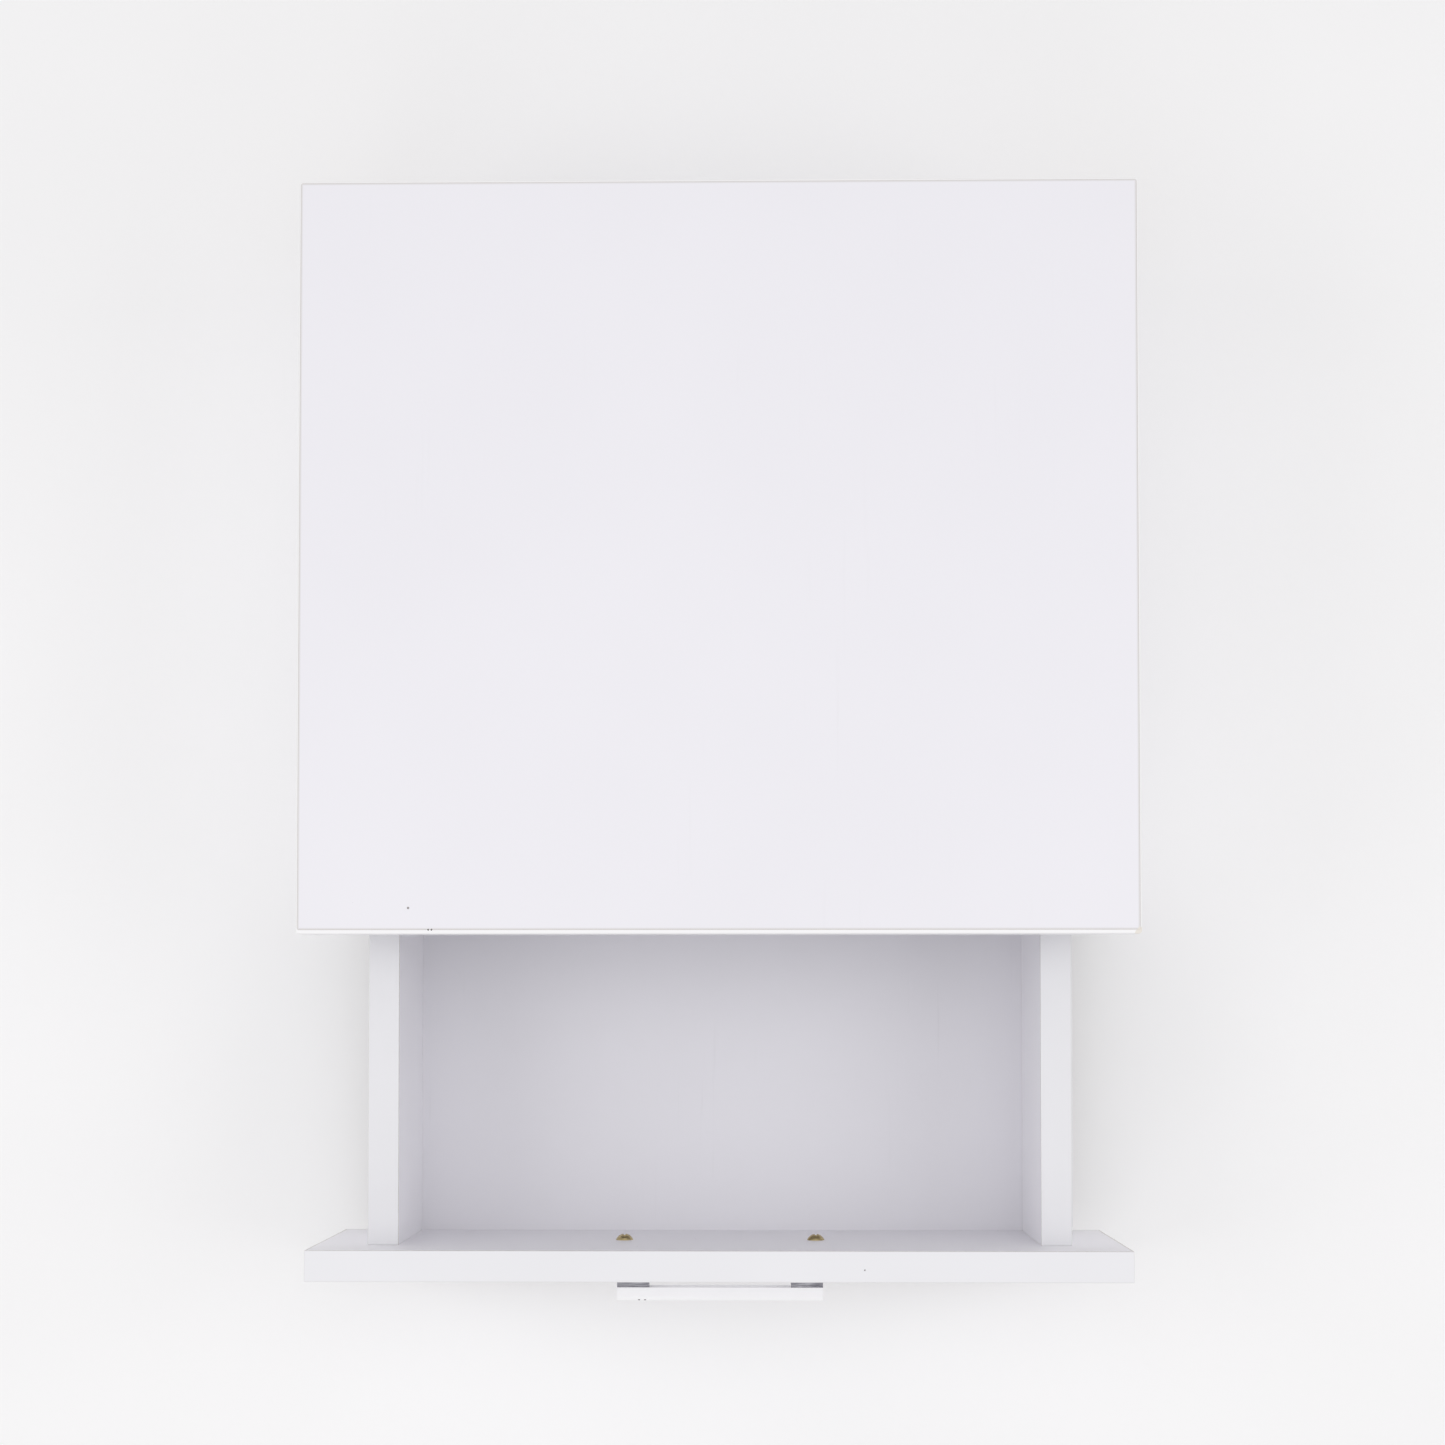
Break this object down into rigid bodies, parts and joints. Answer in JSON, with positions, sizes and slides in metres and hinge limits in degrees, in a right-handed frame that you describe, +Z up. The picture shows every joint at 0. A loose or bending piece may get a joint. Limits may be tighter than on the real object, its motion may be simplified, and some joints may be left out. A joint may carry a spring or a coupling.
{
  "type": "wall cabinet with drawer",
  "caption": "Shallow white wall-hung cabinet with one drawer on roller runners, a bar handle and keyhole hangers on its back.",
  "frame": {"origin": "centre of the back face, on the wall plane", "axes": "+X to the right seen from the front, +Y into the wall, +Z up; the drawer opens towards -Y"},
  "size_m": [0.4, 0.541, 0.15],
  "materials": {
    "melamine_board": "white melamine facing on particleboard, satin with a very fine grain",
    "edge_band": "white ABS edge banding, satin",
    "drawer_bottom_board": "white lacquered hardboard, smooth above",
    "zinc_plated_steel": "rolled steel with bright zinc plating",
    "fastener_steel": "zinc-plated steel",
    "white_cap": "moulded white plastic",
    "beech_dowel": "fluted beech, unfinished",
    "bumper": "clear soft polyurethane",
    "runner_enamel": "rolled steel with white epoxy powder coat",
    "runner_roller": "moulded off-white nylon",
    "handle_white": "white powder coat over zinc die casting, smooth satin",
    "handle_foot_chrome": "bright chrome with faint polishing streaks",
    "yellow_zinc_screw": "yellow-zinc machine screw, dull"
  },
  "bodies": {
    "carcass": {"top_panel": "melamine_board", "top_edge_band": "edge_band", "bottom_panel": "melamine_board", "bottom_edge_band": "edge_band", "left_side_panel": "melamine_board", "right_side_panel": "melamine_board", "side_edge_bands": "edge_band", "back_panel": "melamine_board", "left_hanger_plate": "zinc_plated_steel", "right_hanger_plate": "zinc_plated_steel", "hanger_screws": "fastener_steel", "carcass_cam_locks": "fastener_steel", "carcass_cam_bolts": "fastener_steel", "carcass_cam_caps": "white_cap", "carcass_dowels": "beech_dowel", "confirmat_screws": "fastener_steel", "bumper_pads": "bumper", "left_cabinet_runner": "runner_enamel", "right_cabinet_runner": "runner_enamel", "cabinet_runner_screws": "fastener_steel", "front_axles": "fastener_steel"},
    "drawer": {"drawer_front": "melamine_board", "drawer_front_edge_bands": "edge_band", "drawer_left_side": "melamine_board", "drawer_right_side": "melamine_board", "drawer_back": "melamine_board", "drawer_box_edge_bands": "edge_band", "drawer_bottom": "drawer_bottom_board", "drawer_bottom_screws": "fastener_steel", "drawer_cam_locks": "fastener_steel", "drawer_cam_bolts": "fastener_steel", "drawer_dowels": "beech_dowel", "drawer_back_screws": "fastener_steel", "left_drawer_runner": "runner_enamel", "right_drawer_runner": "runner_enamel", "drawer_runner_screws": "fastener_steel", "rear_axles": "fastener_steel", "handle_bar": "handle_white", "left_handle_foot": "handle_foot_chrome", "right_handle_foot": "handle_foot_chrome", "handle_screws": "yellow_zinc_screw"},
    "left_front_wheel": {"left_front_roller": "runner_roller"},
    "left_rear_wheel": {"left_rear_roller": "runner_roller"},
    "right_front_wheel": {"right_front_roller": "runner_roller"},
    "right_rear_wheel": {"right_rear_roller": "runner_roller"}
  },
  "joints": [
    {"name": "drawer_slide", "type": "slide", "parent": "carcass", "child": "drawer", "axis": [0, -1, 0], "range_m": [-0.166, 0.054]},
    {"name": "left_front_spin", "type": "hinge", "parent": "carcass", "child": "left_front_wheel", "pos_m": [-0.1775, -0.33, -0.04632], "axis": [1, 0, 0], "range_deg": [-1398.7, 455]},
    {"name": "left_rear_spin", "type": "hinge", "parent": "drawer", "child": "left_rear_wheel", "pos_m": [-0.1775, -0.22, -0.0467], "axis": [1, 0, 0], "range_deg": [-1398.7, 455]},
    {"name": "right_front_spin", "type": "hinge", "parent": "carcass", "child": "right_front_wheel", "pos_m": [0.1775, -0.33, -0.04632], "axis": [1, 0, 0], "range_deg": [-1398.7, 455]},
    {"name": "right_rear_spin", "type": "hinge", "parent": "drawer", "child": "right_rear_wheel", "pos_m": [0.1775, -0.22, -0.0467], "axis": [1, 0, 0], "range_deg": [-1398.7, 455]}
  ],
  "couplings": [
    {"joint": "left_front_spin", "follows": "drawer_slide", "rad_per_m": 147.06},
    {"joint": "left_rear_spin", "follows": "drawer_slide", "rad_per_m": 147.06},
    {"joint": "right_front_spin", "follows": "drawer_slide", "rad_per_m": 147.06},
    {"joint": "right_rear_spin", "follows": "drawer_slide", "rad_per_m": 147.06}
  ]
}
